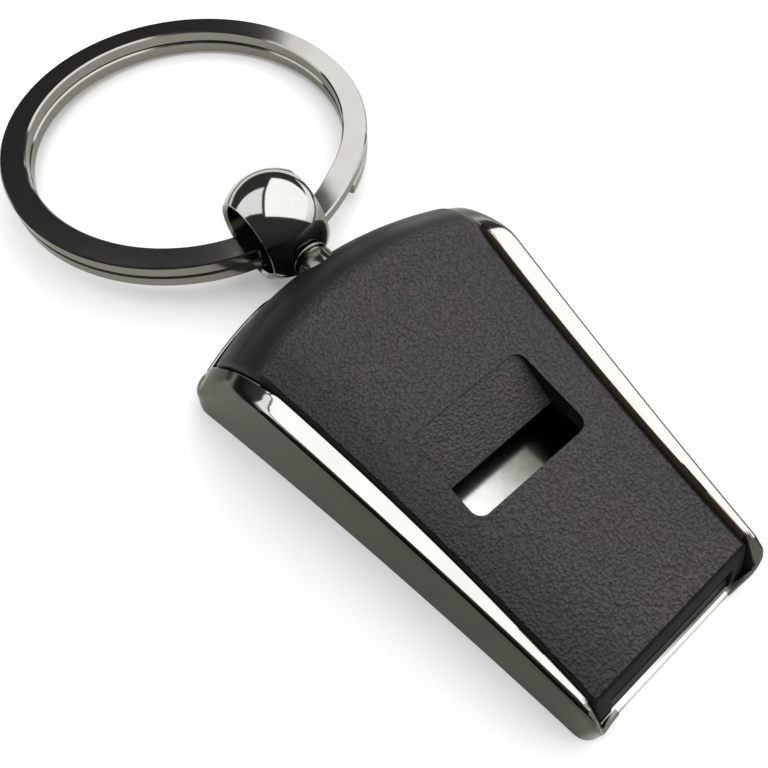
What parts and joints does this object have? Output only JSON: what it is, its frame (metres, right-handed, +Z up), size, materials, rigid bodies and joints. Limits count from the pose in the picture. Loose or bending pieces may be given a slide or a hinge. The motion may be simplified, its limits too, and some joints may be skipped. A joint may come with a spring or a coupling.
{
  "type": "whistle keychain",
  "caption": "Flat whistle with a moulded black shell in a plated metal tray, and a swivelling bored ball that carries a split key ring.",
  "frame": {"origin": "centre of the tray's flat underside, half way along the tray", "axes": "+Y from the mouthpiece to the key ring, +Z up from the table, +X to the right of someone who looks along +Y"},
  "size_m": [0.0301, 0.0684, 0.0083],
  "materials": {
    "black_nickel": "polished black nickel plate",
    "textured_plastic": "fine leather-like mould texture",
    "gloss_plastic": "smooth moulded",
    "steel": "plain turned"
  },
  "bodies": {
    "body": {"frame_tray": "black_nickel", "whistle_shell": "textured_plastic", "windway_block": "gloss_plastic", "swivel_pin": "steel", "neck_collar": "black_nickel", "retaining_washer": "steel"},
    "ball": {"swivel_ball": "black_nickel"},
    "ring": {"split_ring": "black_nickel"}
  },
  "joints": [
    {"name": "ball_swivel", "type": "hinge", "parent": "body", "child": "ball", "pos_m": [0, 0.02135, 0.00415], "axis": [0, 1, 0], "continuous": true},
    {"name": "ring_swing", "type": "hinge", "parent": "ball", "child": "ring", "pos_m": [0, 0.02135, 0.00415], "axis": [1, 0, 0], "range_deg": [-105, 105]}
  ]
}
